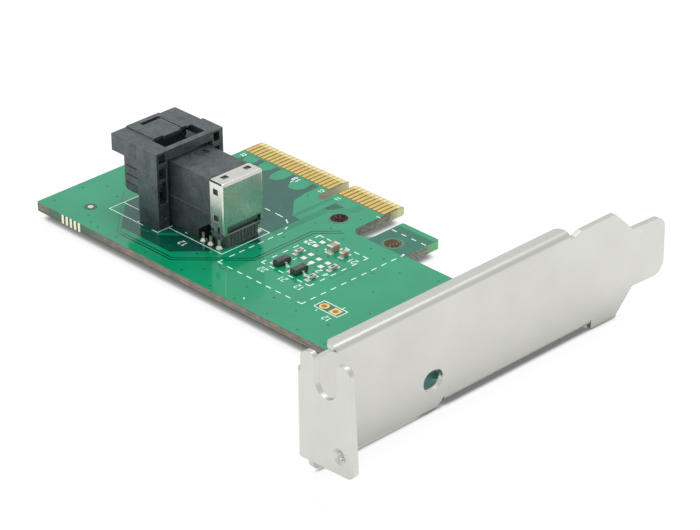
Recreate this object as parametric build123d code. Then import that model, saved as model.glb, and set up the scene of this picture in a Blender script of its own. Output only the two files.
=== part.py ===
import os
from math import radians, tan

from build123d import *

os.makedirs("parts", exist_ok=True)

# Frame: X runs along the card towards its bracket, Y towards the tips of the edge
# contacts, Z up from the component side. The origin is the middle of the key slot,
# level with the contact tips and with the board's component side.

# circuit board
board_thick = 1.6
board_rear_x = -32.4
board_front_x = 56.6
board_far_y = -41.9
board_near_y = -12.1
tongue_rear_x = -22.15
tongue_front_x = 12.15
key_width = 1.9
key_depth = 7.9
bevel_len = 0.5
bevel_angle = 20.0
side_slot_end_y = -12.4
side_slot_corner_r = 1.85
hook_rear_x = 16.2
hook_front_x = 24.5
hook_tip_y = -4.3
hook_corner_r = 0.35
tooling_hole_r = 1.5
tooling_hole_y = -10.55
tooling_hole_xs = (7.6, 20.1)

# edge contacts
pad_pitch = 1.0
pad_width = 0.7
pad_thick = 0.05
pad_inner_y = -4.5
pad_outer_y = -1.3
first_pad_x = 1.5
front_pad_count = 11
rear_pad_count = 21

# bracket, folded from one sheet
sheet = 0.86
plate_x = 58.0
plate_bottom_z = -board_thick - sheet
plate_width = 18.42
bracket_length = 79.2
tab_y = -67.03
tip_y = tab_y + bracket_length
tab_bend_r = 0.4
tab_depth = 10.92
tab_width = 17.95
tab_bottom_z = 1.32
tab_top_z = tab_bottom_z + tab_width
tab_lean = 2.4
tab_lean_z = 10.0
tab_root_top_z = 15.85
tab_lobe_x = 58.75
tab_corner_r = 1.6
notch_r = 2.18
notch_x = plate_x + 5.78
notch_z = 15.0
dimple_x = 66.1
dimple_z = 4.6
corner_y = tab_y + 2.53
corner_r = 1.3
dimple_hole_r = 0.65
dimple_rim_r = 1.4
fold_r = 0.22
stiffener_depth = 2.7
stiffener_y0 = tab_y + 7.63
stiffener_y1 = tip_y - 22.27
tongue_low_z = 1.0
tongue_width = 10.2
tongue_drop = 0.35
tongue_corner_r = 2.3
tongue_root_y = tip_y - 7.35
tongue_shoulder_y = tip_y - 7.71
foot_y0 = board_far_y + 4.5
foot_y1 = tip_y - 17.07
foot_depth = 4.2
ear_depth = 8.4
ear_width = 9.0
flare_z = -3.1
flare_top_z = 15.4
flare_low_y = tip_y - 11.5
flare_high_y = tip_y - 12.07
window_y = board_far_y + 2.1
window_z = 2.35
window_r = 1.72
window_len = 4.1

# screws that hold the board down on the bracket's ears
screw_x = 52.8
screw_ys = (-33.2, -18.4)
screw_head_r = 2.7
screw_head_h = 1.9
screw_shank_r = 1.23
screw_tap_r = 1.25
screw_clear_r = 1.6
screw_tip_z = plate_bottom_z - 0.45

# cable receptacle
shroud_x0 = -21.3
shroud_x1 = -10.0
shroud_y0 = -34.3
shroud_y1 = -20.4
shroud_top_z = 13.88
hood_bottom_z = 10.85
snout_x0 = -18.25
snout_bottom_z = 4.85
pillar_x0 = -14.8
pillar_proud = 0.12
pillar_proud_far = 0.48
mouth_wall = 1.3
mouth_bottom_z = 5.9
mouth_top_z = 12.5
mouth_corner_r = 0.5
raised_z = 0.2
latch_slot_x0 = -14.45
latch_slot_x1 = -11.05
latch_slot_y0 = -31.5
latch_slot_y1 = -22.85
latch_lip = 0.4
latch_lip_y0 = -29.2
latch_lip_y1 = -25.65
latch_roof = 0.35
latch_run = 2.9
catch_slot_x0 = -20.4
catch_slot_x1 = -19.5
catch_slot_y0 = -28.95
catch_slot_y1 = -25.15
catch_groove = 0.25
catch_groove_depth = 0.35
pocket_depth = 2.6
pocket_wall = 0.3
pocket_zs = ((11.8, 13.45), (8.9, 10.95), (4.5, 8.4))
boss_z = 2.1
boss_r = 0.3
boss_ring_r = 0.52
grip_zs = (9.35, 7.75, 6.2)
grip_half = 0.12
grip_depth = 0.22
body_x0 = -12.0
body_x1 = -0.5
body_y0 = -31.3
body_y1 = -23.05
body_top_z = 11.72
ledge_z = 5.45
ledge_proud = 0.17
body_foot_x = -3.65
wafer_count = 9
wafer_pitch = 0.72
wafer_gap = 0.06
wafer_x1 = 2.4
comb_x1 = 2.42
comb_top_z = 2.45
clip_sheet = 0.25
clip_x0 = -0.45
clip_x1 = 2.75
clip_top_z = 11.87
clip_skirt_z = 4.0
clip_leg_z = 2.75
clip_window_h = 1.05
clip_window_zs = (4.7, 9.5)
clip_window_xs = (0.35, 1.5)
clip_leg_gap_xs = (1.1, 1.75)
clip_top_window_ys = (-29.3, -24.4)
clip_top_window_half = 0.65
clip_top_window_xs = (0.2, 1.25)
nose_x0 = -16.2
nose_half_w = 3.75
nose_z0 = 6.7
nose_z1 = 11.5
card_slot_h = 0.95
card_slot_w = 6.9
card_slot_zs = (7.85, 10.35)
contact_pitch = 0.75
tail_hole_r = 0.23
tail_half = 0.12
tail_xs = (-0.15, 0.45, 1.05, 1.65)
peg_r = 0.75
peg_clear = 0.05
leg_xs = (-2.45, -0.65, 1.35)
leg_hole_r = 0.4

body_mid_y = (body_y0 + body_y1) / 2
leg_ys = (body_y0 - 0.1, body_y1 + 0.1)
peg_x = (pillar_x0 + shroud_x1) / 2
peg_ys = (shroud_y0 + 1.0, shroud_y1 - 1.0)
tail_ys = [body_mid_y + (i - (wafer_count - 1) / 2) * wafer_pitch for i in range(wafer_count)]

# small parts on the component side
transistor_at = ((12.4, -27.85), (16.45, -27.9))
capacitor_at = ((15.1, -19.0), (17.65, -19.1))
capacitor_sizes = ((2.0, 1.25, 1.15, 0.42), (1.6, 0.85, 0.85, 0.32))
resistor_size = (1.6, 0.8, 0.5, 0.28)
resistor_at = ((11.5, -23.3), (19.4, -23.3), (19.25, -27.9))
spare_at = ((11.75, -19.1), (13.45, -23.3), (15.5, -23.5), (17.5, -23.4))
header_at = ((27.24, -32.72), (29.78, -32.72))
header_hole_r = 0.5
header_pad_r = 0.85
fiducial_at = (-24.56, -36.78)
fiducial_r = 0.5
tie_bar_x0 = -25.6
tie_bar_pitch = 1.04
tie_bar_count = 5


def block(x0, x1, y0, y1, z0, z1):
    """Box between two corners."""
    return Pos((x0 + x1) / 2, (y0 + y1) / 2, (z0 + z1) / 2) * Box(x1 - x0, y1 - y0, z1 - z0)


def prism_z(points, z0, z1):
    """Outline in XY carried up from z0 to z1."""
    return extrude(Pos(0, 0, z0) * make_face(Polyline(*points, close=True)), amount=z1 - z0)


def prism_x(points, x0, x1):
    """Outline given as (y, z), carried from x0 to x1."""
    face = make_face(Polyline(*[(x0, y, z) for y, z in points], close=True))
    return extrude(face, amount=x1 - x0, dir=(1, 0, 0))


def prism_y(points, y0, y1):
    """Outline given as (x, z), carried from y0 to y1."""
    face = make_face(Polyline(*[(x, y0, z) for x, z in points], close=True))
    return extrude(face, amount=y1 - y0, dir=(0, 1, 0))


def rod(x, y, z0, z1, r):
    """Round bar along Z."""
    return Pos(x, y, (z0 + z1) / 2) * Cylinder(r, z1 - z0)


def edges_at(part, axis, *spots):
    """Edges along an axis whose middles pass through the spots, given in the other two axes."""
    picks = []
    for edge in part.edges().filter_by(axis):
        c = edge.center()
        flat = {Axis.X: (c.Y, c.Z), Axis.Y: (c.X, c.Z), Axis.Z: (c.X, c.Y)}[axis]
        if any(abs(flat[0] - s[0]) < 0.02 and abs(flat[1] - s[1]) < 0.02 for s in spots):
            picks.append(edge)
    return picks


def save(node, *solids):
    """One solid, or a group of separate like solids, as one node."""
    shape = solids[0] if len(solids) == 1 else Compound(children=list(solids))
    export_step(shape, f"parts/{node}.step")


# circuit board: routed outline, key slot, side slot, drilled holes and bevelled tips
outline = [
    (board_rear_x, board_far_y),
    (board_front_x, board_far_y),
    (board_front_x, board_near_y),
    (hook_front_x, board_near_y),
    (hook_front_x, hook_tip_y),
    (hook_rear_x, hook_tip_y),
    (hook_rear_x, side_slot_end_y),
    (tongue_front_x, side_slot_end_y),
    (tongue_front_x, 0),
    (key_width / 2, 0),
    (key_width / 2, -key_depth),
    (-key_width / 2, -key_depth),
    (-key_width / 2, 0),
    (tongue_rear_x, 0),
    (tongue_rear_x, board_near_y),
    (board_rear_x, board_near_y),
]
board = prism_z(outline, -board_thick, 0)
board = fillet(
    edges_at(board, Axis.Z, (hook_rear_x, side_slot_end_y), (tongue_front_x, side_slot_end_y)),
    side_slot_corner_r,
)
board = fillet(
    edges_at(board, Axis.Z, (key_width / 2, -key_depth), (-key_width / 2, -key_depth)),
    key_width / 2 - 0.05,
)
board = fillet(
    edges_at(
        board,
        Axis.Z,
        (hook_front_x, hook_tip_y),
        (hook_rear_x, hook_tip_y),
        (board_rear_x, board_far_y),
        (board_front_x, board_far_y),
    ),
    hook_corner_r,
)
bevel_drop = bevel_len * tan(radians(bevel_angle))
for z_face, way in ((0, -1), (-board_thick, 1)):
    wedge = [
        (-bevel_len, z_face),
        (bevel_len, z_face + way * bevel_drop * 2),
        (bevel_len, z_face - way),
        (-bevel_len, z_face - way),
    ]
    board -= prism_x(wedge, tongue_rear_x - 1, tongue_front_x + 1)
for hx in tooling_hole_xs:
    board -= rod(hx, tooling_hole_y, -board_thick, 0, tooling_hole_r)
for sy in screw_ys:
    board -= rod(screw_x, sy, -board_thick, 0, screw_clear_r)
for hx, hy in header_at:
    board -= rod(hx, hy, -board_thick, 0, header_hole_r + pad_thick)
for py in peg_ys:
    board -= rod(peg_x, py, -board_thick, 0, peg_r + peg_clear)
for ty in tail_ys:
    for tx in tail_xs:
        board -= rod(tx, ty, -board_thick, 0, tail_hole_r)
for ly in leg_ys:
    for lx in leg_xs:
        board -= rod(lx, ly, -board_thick, 0, leg_hole_r)
save("circuit_board", board)

# edge contacts, one row of plated pads on each face
pad_xs = [first_pad_x + i * pad_pitch for i in range(front_pad_count)]
pad_xs += [-first_pad_x - i * pad_pitch for i in range(rear_pad_count)]
half_pad = pad_width / 2
top_pads = [block(x - half_pad, x + half_pad, pad_inner_y, pad_outer_y, 0, pad_thick) for x in pad_xs]
save("edge_contacts_component_side", *top_pads)
low = -board_thick
low_pads = []
for x in pad_xs:
    low_pads.append(block(x - half_pad, x + half_pad, pad_inner_y, pad_outer_y, low - pad_thick, low))
save("edge_contacts_solder_side", *low_pads)

# bracket: face plate and screw tab as one bent strip, trimmed by the two flat outlines
inner_x = plate_x - sheet
bend_out = tab_bend_r + sheet
tab_end_x = plate_x + tab_depth
strip_end_x = tab_end_x + 1.5
bend_cx = inner_x + bend_out
bend_cy = tab_y + bend_out
with BuildSketch() as strip_profile:
    with BuildLine():
        outer = Polyline((inner_x, tip_y), (inner_x, bend_cy))
        turn = RadiusArc(outer @ 1, (bend_cx, tab_y), -bend_out)
        tab_out = Line(turn @ 1, (strip_end_x, tab_y))
        tab_end = Line(tab_out @ 1, (strip_end_x, tab_y + sheet))
        tab_in = Line(tab_end @ 1, (bend_cx, tab_y + sheet))
        turn_in = RadiusArc(tab_in @ 1, (plate_x, bend_cy), tab_bend_r)
        Polyline(turn_in @ 1, (plate_x, tip_y), (inner_x, tip_y))
    make_face()
strip = extrude(Pos(0, 0, flare_z - 1) * strip_profile.sketch, amount=tab_top_z - flare_z + 3)

plate_top_z = plate_bottom_z + plate_width
fold_out = fold_r + sheet
tongue_top_z = tongue_low_z + tongue_width
crop_z = plate_top_z - fold_out
relief = 0.15
plate_outline = [
    (bend_cy - 0.001, tab_root_top_z),
    (stiffener_y0 - 1.0, tab_root_top_z),
    (stiffener_y0 + 0.4, crop_z),
    (stiffener_y1 + 1.1, crop_z),
    (stiffener_y1 + 2.5, flare_top_z),
    (flare_high_y, flare_top_z),
    (tongue_shoulder_y, tongue_top_z),
    (tip_y, tongue_top_z - tongue_drop),
    (tip_y, tongue_low_z - tongue_drop),
    (tongue_root_y, tongue_low_z),
    (flare_low_y, flare_z),
    (foot_y1 + relief, flare_z + 0.2),
    (foot_y1 + relief, plate_bottom_z + fold_out),
    (foot_y0 - relief, plate_bottom_z + fold_out),
    (foot_y0 - relief - 1.2, plate_bottom_z),
    (corner_y, plate_bottom_z),
    (corner_y, tab_bottom_z + 0.4),
    (bend_cy - 0.001, tab_bottom_z + 0.4),
]
plate_blank = prism_x(plate_outline, inner_x - 1, plate_x + 1)
rounded = [
    ((tip_y, tongue_top_z - tongue_drop), tongue_corner_r),
    ((tip_y, tongue_low_z - tongue_drop), tongue_corner_r),
    ((flare_high_y, flare_top_z), 0.6),
    ((tongue_shoulder_y, tongue_top_z), 1.0),
    ((flare_low_y, flare_z), 0.4),
    ((stiffener_y0 - 1.0, tab_root_top_z), 0.3),
    ((corner_y, plate_bottom_z), corner_r),
]
for spot, r in rounded:
    plate_blank = fillet(edges_at(plate_blank, Axis.X, spot), r)

tab_outline = [
    (tab_end_x, tab_bottom_z),
    (tab_end_x, tab_top_z),
    (notch_x + notch_r, tab_top_z),
    (notch_x + notch_r, notch_z),
    (notch_x - notch_r, notch_z),
    (notch_x - notch_r, tab_top_z),
    (tab_lobe_x, tab_top_z),
    (tab_lobe_x, tab_root_top_z - 0.2),
    (inner_x - 1.5, tab_root_top_z - 0.2),
    (inner_x - 1.5, tab_bottom_z),
]
tab_blank = prism_y(tab_outline, tab_y - 1, bend_cy)
tab_blank = fillet(
    edges_at(tab_blank, Axis.Y, (tab_end_x, tab_bottom_z), (tab_end_x, tab_top_z), (tab_lobe_x, tab_top_z)),
    tab_corner_r,
)
tab_blank = fillet(
    edges_at(tab_blank, Axis.Y, (notch_x + notch_r, tab_top_z), (notch_x - notch_r, tab_top_z)), 0.9
)
tab_blank -= Pos(notch_x, (tab_y + bend_cy - 1) / 2, notch_z) * Rot(90, 0, 0) * Cylinder(notch_r, 4)
pivot = (plate_x, 0, tab_lean_z)
tab_blank = Pos(*pivot) * Rot(0, -tab_lean, 0) * Pos(-pivot[0], 0, -pivot[2]) * tab_blank
tab_blank &= block(inner_x - 1, tab_end_x + 3, tab_y - 2, bend_cy, -5, tab_root_top_z) + block(
    plate_x + 0.3, tab_end_x + 3, tab_y - 2, bend_cy, -5, tab_top_z + 3
)

bracket = strip & (plate_blank + tab_blank)
dimple = Pos(dimple_x, tab_y + sheet / 2, dimple_z) * Rot(90, 0, 0)
bracket -= dimple * Cylinder(dimple_hole_r, 3)
bracket -= Pos(dimple_x, tab_y + 0.18, dimple_z) * Rot(90, 0, 0) * Cone(dimple_hole_r, dimple_rim_r, 0.42)
window = SlotOverall(window_len, 2 * window_r, rotation=90)
window = Pos(plate_x, window_y, window_z) * Rot(0, 90, 0) * window
bracket -= extrude(window, amount=3, both=True)


def fold(z_face, up, reach):
    """Quarter bend from the plate and the flat flange behind it, as an (x, z) profile."""
    z_in = z_face - up * sheet
    with BuildSketch(Plane.XZ) as sk:
        with BuildLine():
            start = (plate_x, z_face - up * fold_out)
            mid_o = (plate_x - fold_out, z_face)
            arc_o = RadiusArc(start, mid_o, -up * fold_out)
            end_x = plate_x - reach
            top = Polyline(arc_o @ 1, (end_x, z_face), (end_x, z_in), (plate_x - fold_out, z_in))
            arc_i = RadiusArc(top @ 1, (inner_x, z_face - up * fold_out), up * fold_r)
            Line(arc_i @ 1, start)
        make_face()
    return sk.sketch


rim = Pos(0, stiffener_y0, 0) * fold(plate_top_z, 1, stiffener_depth)
rim = extrude(rim, amount=stiffener_y0 - stiffener_y1)
rim = fillet(
    edges_at(
        rim,
        Axis.Z,
        (plate_x - stiffener_depth, stiffener_y0),
        (plate_x - stiffener_depth, stiffener_y1),
    ),
    1.1,
)
foot = extrude(Pos(0, foot_y0, 0) * fold(plate_bottom_z, -1, ear_depth), amount=foot_y0 - foot_y1)
foot_gaps = [
    (foot_y0 - 1, screw_ys[0] - ear_width / 2),
    (screw_ys[0] + ear_width / 2, screw_ys[1] - ear_width / 2),
    (screw_ys[1] + ear_width / 2, foot_y1 + 1),
]
for y0, y1 in foot_gaps:
    foot -= block(plate_x - ear_depth - 1, plate_x - foot_depth, y0, y1, plate_bottom_z - 1, 0)
ear_corners = []
for sy in screw_ys:
    ear_corners += [(plate_x - ear_depth, sy - ear_width / 2), (plate_x - ear_depth, sy + ear_width / 2)]
foot = fillet(edges_at(foot, Axis.Z, *ear_corners), 1.8)
for sy in screw_ys:
    foot -= rod(screw_x, sy, plate_bottom_z - 1, 0, screw_tap_r)
bracket = bracket + rim + foot
save("bracket", bracket)

# pan-head screws with a cross recess
screws = []
for sy in screw_ys:
    with BuildSketch(Plane.XZ) as half:
        with BuildLine():
            crown = Line((0, 0), (0, screw_head_h))
            rim_h = screw_head_h * 0.42
            shoulder = (screw_head_r * 0.62, screw_head_h * 0.86)
            cap = ThreePointArc(crown @ 1, shoulder, (screw_head_r, rim_h))
            Polyline(
                cap @ 1,
                (screw_head_r, 0),
                (screw_shank_r, 0),
                (screw_shank_r, screw_tip_z + 0.3),
                (screw_shank_r - 0.3, screw_tip_z),
                (0, screw_tip_z),
                (0, 0),
            )
        make_face()
    screw = revolve(half.sketch, axis=Axis.Z)
    top_z = screw_head_h + 0.1
    root_z = screw_head_h - 1.2
    cross = [(-1.35, top_z), (1.35, top_z), (0.35, root_z), (-0.35, root_z)]
    for turn_deg in (20, 110):
        screw -= Rot(0, 0, turn_deg) * prism_y(cross, -0.25, 0.25)
    screws.append(Pos(screw_x, sy, 0) * screw)
save("bracket_screws", *screws)

# receptacle shroud: hooded mouth towards the rear, two pillars down to the board
shroud = block(shroud_x0, shroud_x1, shroud_y0, shroud_y1, hood_bottom_z, shroud_top_z)
snout = block(snout_x0, shroud_x1, shroud_y0, shroud_y1, snout_bottom_z, hood_bottom_z)
snout = fillet(edges_at(snout, Axis.Y, (snout_x0, snout_bottom_z)), 0.9)
shroud += snout
body_gap_y0 = body_y0 - ledge_proud - 0.6
body_gap_y1 = body_y1 + ledge_proud + 0.6
shroud += block(pillar_x0, shroud_x1, shroud_y0 - pillar_proud, body_gap_y0, 0, shroud_top_z)
shroud += block(pillar_x0, shroud_x1, body_gap_y1, shroud_y1 + pillar_proud_far, 0, shroud_top_z)
raised_y0 = body_y0 + 0.25
raised_y1 = body_y1 - 0.9
raised_top_z = shroud_top_z + raised_z
shroud += block(shroud_x0, latch_slot_x0, raised_y0, raised_y1, shroud_top_z, raised_top_z)
mouth_y0 = shroud_y0 + mouth_wall
mouth_y1 = shroud_y1 - mouth_wall
mouth = block(shroud_x0 - 1, body_x0 + 0.8, mouth_y0, mouth_y1, mouth_bottom_z, mouth_top_z)
mouth = fillet(
    edges_at(
        mouth,
        Axis.X,
        (mouth_y0, mouth_bottom_z),
        (mouth_y1, mouth_bottom_z),
        (mouth_y0, mouth_top_z),
        (mouth_y1, mouth_top_z),
    ),
    mouth_corner_r,
)
shroud -= mouth
shroud -= block(body_x0 - 0.2, shroud_x1 + 1, body_gap_y0, body_gap_y1, -1, body_top_z + 0.6)
over = shroud_top_z + 1
below = mouth_top_z - 0.1
latch_run_z = shroud_top_z - latch_roof
shroud -= block(latch_slot_x0, latch_slot_x1, latch_slot_y0, latch_slot_y1, below, over)
run_x0 = latch_slot_x0 - latch_run
shroud -= block(run_x0, latch_slot_x0 + 0.1, latch_slot_y0, latch_slot_y1, below, latch_run_z)
lip_x0 = latch_slot_x0 - 0.2
lip_x1 = latch_slot_x0 + latch_lip
shroud += block(lip_x0, lip_x1, latch_lip_y0, latch_lip_y1, latch_run_z, raised_top_z)
shroud -= block(catch_slot_x0, catch_slot_x1, catch_slot_y0, catch_slot_y1, below, over)
shroud -= block(
    catch_slot_x0,
    latch_slot_x0 + 0.1,
    catch_slot_y1,
    catch_slot_y1 + catch_groove,
    raised_top_z - catch_groove_depth,
    over,
)
pocket_ys = (
    (shroud_y0 + pocket_wall, body_gap_y0 - pocket_wall),
    (body_gap_y1 + pocket_wall, shroud_y1 - pocket_wall),
)
for y0, y1 in pocket_ys:
    for z0, z1 in pocket_zs:
        shroud -= block(shroud_x1 - pocket_depth, shroud_x1 + 1, y0, y1, z0, z1)
for y in (shroud_y0 + 1.03, shroud_y1 - 1.03):
    ring = Cylinder(boss_ring_r, 0.8) - Cylinder(boss_r, 0.8)
    shroud -= Pos(shroud_x1, y, boss_z) * Rot(0, 90, 0) * ring
grip_x0 = snout_x0 + 0.35
grip_x1 = pillar_x0 - 0.15
for side in (shroud_y0, shroud_y1):
    y0 = side - grip_depth
    y1 = side + grip_depth
    for z in grip_zs:
        shroud -= block(grip_x0, grip_x1, y0, y1, z - grip_half, z + grip_half)
for py in peg_ys:
    peg = rod(peg_x, py, -board_thick + 0.2, 0, peg_r)
    shroud += chamfer(peg.edges().sort_by(Axis.Z)[0], 0.25)
save("receptacle_shroud", shroud)

# contact housing: nose with two card slots, block on the board and cheeks round the wafers
side_shape = [
    (body_x0, 0),
    (body_foot_x, 0),
    (body_foot_x, 1.6),
    (-1.1, 3.5),
    (body_x1, 3.5),
    (body_x1, body_top_z),
    (body_x0, body_top_z),
]
housing = prism_y(side_shape, body_y0, body_y1)
low_shape = side_shape[:5] + [(body_x1, ledge_z), (body_x0, ledge_z)]
housing += prism_y(low_shape, body_y0 - ledge_proud, body_y1 + ledge_proud)
nose = block(nose_x0, body_x0 + 0.5, body_mid_y - nose_half_w, body_mid_y + nose_half_w, nose_z0, nose_z1)
nose = chamfer(nose.faces().sort_by(Axis.X)[0].edges(), 0.35)
housing += nose
for z_slot in card_slot_zs:
    half_w = card_slot_w / 2
    half_h = card_slot_h / 2
    y0 = body_mid_y - half_w
    y1 = body_mid_y + half_w
    housing -= block(nose_x0 - 1, body_x0 - 0.6, y0, y1, z_slot - half_h, z_slot + half_h)
    for i in range(wafer_count):
        cy = body_mid_y + (i - (wafer_count - 1) / 2) * contact_pitch
        housing -= block(nose_x0 + 0.9, body_x0 - 0.6, cy - 0.17, cy + 0.17, z_slot - 0.95, z_slot + 0.95)
housing -= block(-9.7, -7.9, body_mid_y + 0.1, body_mid_y + 2.6, body_top_z - 0.35, body_top_z + 1)
wafer_span = wafer_count * wafer_pitch
wafer_y0 = body_mid_y - wafer_span / 2
wafer_y1 = body_mid_y + wafer_span / 2
clip_y0 = body_y0 - clip_sheet + 0.02
clip_y1 = body_y1 + clip_sheet - 0.02
cheek_skin = 0.05
cheek_gap = clip_sheet + cheek_skin
for y0, y1 in ((clip_y0 + cheek_gap, wafer_y0), (wafer_y1, clip_y1 - cheek_gap)):
    housing += block(body_x1 - 0.2, wafer_x1, y0, y1, comb_top_z, clip_top_z - cheek_gap)
housing -= block(body_x1 - 0.25, body_x1 + 4, wafer_y0, wafer_y1, 0, clip_top_z)
save("contact_housing", housing)

# nine terminal wafers side by side behind the housing
wafers = []
for i in range(wafer_count):
    y0 = wafer_y0 + i * wafer_pitch + wafer_gap / 2
    y1 = y0 + wafer_pitch - wafer_gap
    shape = [
        (body_x1 - 0.25, 3.6),
        (-0.35, comb_top_z),
        (wafer_x1 - 0.6, comb_top_z),
        (wafer_x1, 3.2),
        (wafer_x1, 10.9),
        (wafer_x1 - 0.6, clip_top_z - cheek_gap),
        (body_x1 - 0.25, clip_top_z - cheek_gap),
    ]
    wafers.append(prism_y(shape, y0, y1))
save("terminal_wafers", *wafers)

# contact beams along both faces of each card slot
beams = []
for z_slot in card_slot_zs:
    for way in (-1, 1):
        for i in range(wafer_count):
            cy = body_mid_y + (i - (wafer_count - 1) / 2) * contact_pitch
            z_root = z_slot + way * 0.78
            shape = [
                (body_x0 - 0.6, z_root),
                (nose_x0 + 2.2, z_slot + way * 0.30),
                (nose_x0 + 1.3, z_slot + way * 0.62),
                (nose_x0 + 1.2, z_slot + way * 0.74),
                (nose_x0 + 2.2, z_slot + way * 0.44),
                (body_x0 - 0.6, z_root + way * 0.14),
            ]
            beams.append(prism_y(shape, cy - 0.12, cy + 0.12))
save("contact_beams", *beams)

# organiser comb under the wafers, ribbed on its open side
comb = block(-0.75, comb_x1, wafer_y0, wafer_y1, 0, comb_top_z)
comb += block(-0.75, comb_x1 - 0.45, body_y0 - 0.05, body_y1 + 0.05, comb_top_z - 0.85, comb_top_z)
for i in range(wafer_count + 1):
    y = wafer_y0 + i * wafer_pitch
    comb -= block(comb_x1 - 0.22, comb_x1 + 1, y - 0.13, y + 0.13, 0.25, comb_top_z - 0.25)
comb = chamfer(edges_at(comb, Axis.Y, (comb_x1, comb_top_z)), 0.15)
for ty in tail_ys:
    for tx in tail_xs:
        comb -= block(tx - tail_half, tx + tail_half, ty - tail_half, ty + tail_half, -1, comb_top_z - 0.4)
for ly in leg_ys:
    for lx in leg_xs:
        comb -= rod(lx, ly, comb_top_z - 2, comb_top_z - 0.3, 0.33)
save("organiser_comb", comb)

# press-fit tails through the board, four to each wafer
tails = []
for ty in tail_ys:
    for tx in tail_xs:
        tail = Pos(tx, ty, 0) * Rectangle(2 * tail_half, 2 * tail_half)
        tails.append(extrude(Pos(0, 0, -board_thick - 0.5) * tail, amount=board_thick + 0.1 + comb_top_z))
save("contact_tails", *tails)

# formed shield clip over the wafers
clip = block(clip_x0, clip_x1, clip_y0, clip_y1, clip_leg_z, clip_top_z)
clip = fillet(edges_at(clip, Axis.Y, (clip_x1, clip_top_z)), 0.5)
clip = fillet(edges_at(clip, Axis.Z, (clip_x1, clip_y0), (clip_x1, clip_y1)), 0.35)
in_x1 = clip_x1 - clip_sheet
in_z1 = clip_top_z - clip_sheet
hollow = block(clip_x0 - 1, in_x1, clip_y0 + clip_sheet, clip_y1 - clip_sheet, 0, in_z1)
hollow = fillet(edges_at(hollow, Axis.Y, (in_x1, in_z1)), 0.25)
clip -= hollow
far_y0 = clip_y0 - 1
far_y1 = clip_y1 + 1
clip -= block(in_x1 - 0.4, clip_x1 + 1, wafer_y0 - 0.4, wafer_y1 + 0.4, 0, clip_skirt_z)
clip -= block(*clip_leg_gap_xs, far_y0, far_y1, 0, clip_leg_z + clip_window_h)
clip -= block(clip_x0 - 1, clip_window_xs[0], far_y0, far_y1, 0, clip_leg_z + clip_window_h / 2)
for z0 in clip_window_zs:
    clip -= block(*clip_window_xs, far_y0, far_y1, z0, z0 + clip_window_h)
for y in clip_top_window_ys:
    y0 = y - clip_top_window_half
    y1 = y + clip_top_window_half
    clip -= block(*clip_top_window_xs, y0, y1, clip_top_z - 1, clip_top_z + 1)
save("shield_clip", clip)

# hold-down legs beside the wafers, with their solder
legs = []
fillets = []
for ly, way in zip(leg_ys, (-1, 1)):
    for lx in leg_xs:
        leg = rod(lx, ly, -board_thick - 0.7, comb_top_z - 0.9, 0.28)
        legs.append(leg)
        cone = Pos(lx, ly, 0.25) * Cone(0.65, 0.34, 0.5)
        cone += Pos(lx, ly, -board_thick - 0.2) * Cone(0.3, 0.7, 0.4)
        cone += rod(lx, ly, -board_thick, 0, leg_hole_r)
        fillets.append(cone - leg)
save("hold_down_legs", *legs)
save("leg_solder", *fillets)

# small-outline transistors: tapered body, gull-wing leads
bodies = []
leads = []
for tx, ty in transistor_at:
    lower = Pos(tx, ty, 0.12) * Rectangle(1.28, 2.66)
    upper = Pos(tx, ty, 1.06) * Rectangle(1.2, 2.58)
    waist = Pos(tx, ty, 0.55) * Rectangle(1.4, 2.78)
    bodies.append(loft([lower, waist]) + loft([waist, upper]))
    for way, ys in ((1, (0,)), (-1, (-0.95, 0.95))):
        for dy in ys:
            shape = [
                (tx + way * 0.7, 0.48),
                (tx + way * 0.92, 0.48),
                (tx + way * 0.98, 0.05),
                (tx + way * 1.32, 0.05),
                (tx + way * 1.32, 0.17),
                (tx + way * 1.08, 0.17),
                (tx + way * 1.02, 0.6),
                (tx + way * 0.7, 0.6),
            ]
            leads.append(prism_y(shape, ty + dy - 0.2, ty + dy + 0.2))
save("transistor_bodies", *bodies)
save("transistor_leads", *leads)


def chip(x, y, length, width, height, end):
    """Ceramic chip along Y with a plated cap on each end; returns core and caps."""
    lift = 0.05
    half_w = width / 2 - 0.03
    half_l = length / 2 - end
    core = block(x - half_w, x + half_w, y - half_l, y + half_l, lift + 0.03, lift + height - 0.03)
    caps = []
    for way in (-1, 1):
        y0, y1 = sorted((y + way * length / 2, y + way * (length / 2 - end)))
        cap = block(x - width / 2, x + width / 2, y0, y1, lift, lift + height)
        caps.append(fillet(cap.edges().filter_by(Axis.Z) + cap.edges().filter_by(Axis.X), 0.06))
    return core, caps


cores, caps = [], []
for (x, y), size in zip(capacitor_at, capacitor_sizes):
    core, ends = chip(x, y, *size)
    cores.append(core)
    caps += ends
save("capacitor_bodies", *cores)
save("capacitor_end_caps", *caps)
cores, caps = [], []
for x, y in resistor_at:
    core, ends = chip(x, y, *resistor_size)
    cores.append(core)
    caps += ends
save("resistor_bodies", *cores)
save("resistor_end_caps", *caps)

# tinned pads under the small parts, and the empty pairs between them
pads = []
for (x, y), (length, width, height, end) in zip(capacitor_at, capacitor_sizes):
    for w in (-1, 1):
        mid = y + w * length / 2
        pads.append(block(x - width / 2 - 0.1, x + width / 2 + 0.1, mid - end, mid + end, 0, pad_thick))
for x, y in resistor_at + spare_at:
    for w in (-1, 1):
        mid = y + w * resistor_size[0] / 2
        pads.append(block(x - 0.45, x + 0.45, mid - 0.42, mid + 0.42, 0, pad_thick))
for x, y in transistor_at:
    pads.append(block(x + 0.85, x + 1.65, y - 0.35, y + 0.35, 0, pad_thick))
    for mid in (y - 0.95, y + 0.95):
        pads.append(block(x - 1.65, x - 0.85, mid - 0.35, mid + 0.35, 0, pad_thick))
save("solder_pads", *pads)

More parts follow.
